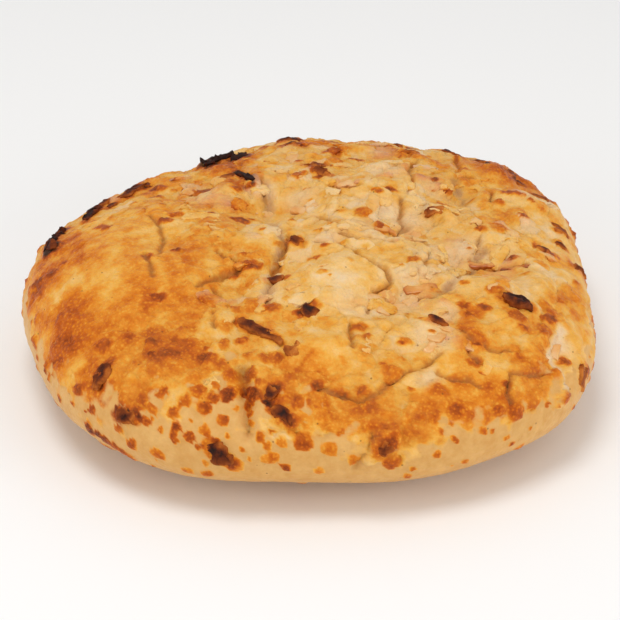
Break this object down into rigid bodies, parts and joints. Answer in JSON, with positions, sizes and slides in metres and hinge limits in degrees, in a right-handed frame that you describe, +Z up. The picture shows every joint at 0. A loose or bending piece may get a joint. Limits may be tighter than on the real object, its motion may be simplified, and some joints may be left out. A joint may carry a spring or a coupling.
{
  "type": "round focaccia",
  "caption": "Round dimpled loaf of flat bread with a craggy crust of melted cheese and baked-on onion shreds, flat underneath to rest on a surface.",
  "frame": {"origin": "under the middle of the loaf, on the surface that it rests on", "axes": "+Z up from the flat base through the crown; +X to the right and +Y away as seen in the picture"},
  "size_m": [0.1848, 0.1868, 0.053],
  "materials": {
    "crust": "baked crust: golden melted cheese, toasted brown in patches, pale at the sides"
  },
  "bodies": {
    "root": {"focaccia": "crust"}
  },
  "joints": []
}
